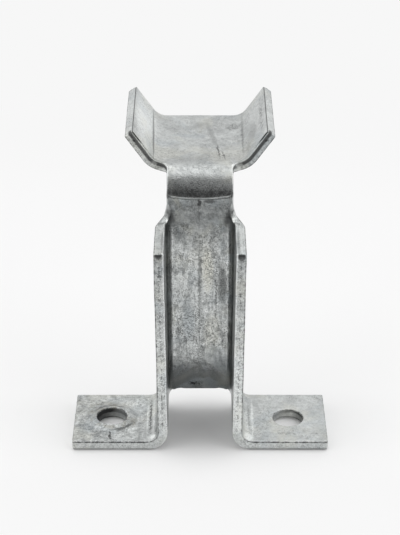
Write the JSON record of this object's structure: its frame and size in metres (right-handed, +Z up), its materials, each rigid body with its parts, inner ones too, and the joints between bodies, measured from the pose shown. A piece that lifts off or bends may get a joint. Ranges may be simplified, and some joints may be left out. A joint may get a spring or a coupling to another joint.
{
  "type": "pipe support bracket",
  "caption": "Folded steel bracket with bolt-down feet, an open channel post and a raised trough-shaped saddle that carries a pipe above its base.",
  "frame": {"origin": "midway between the two bolt holes, on the plane that the feet stand on", "axes": "+X across the feet, +Y from the post towards the saddle's free end, +Z up"},
  "size_m": [0.1, 0.088, 0.1176],
  "materials": {
    "galvanised_steel": "galvanised, satin grey with fine dark speckle and handling marks"
  },
  "bodies": {
    "root": {"bracket": "galvanised_steel"}
  },
  "joints": []
}
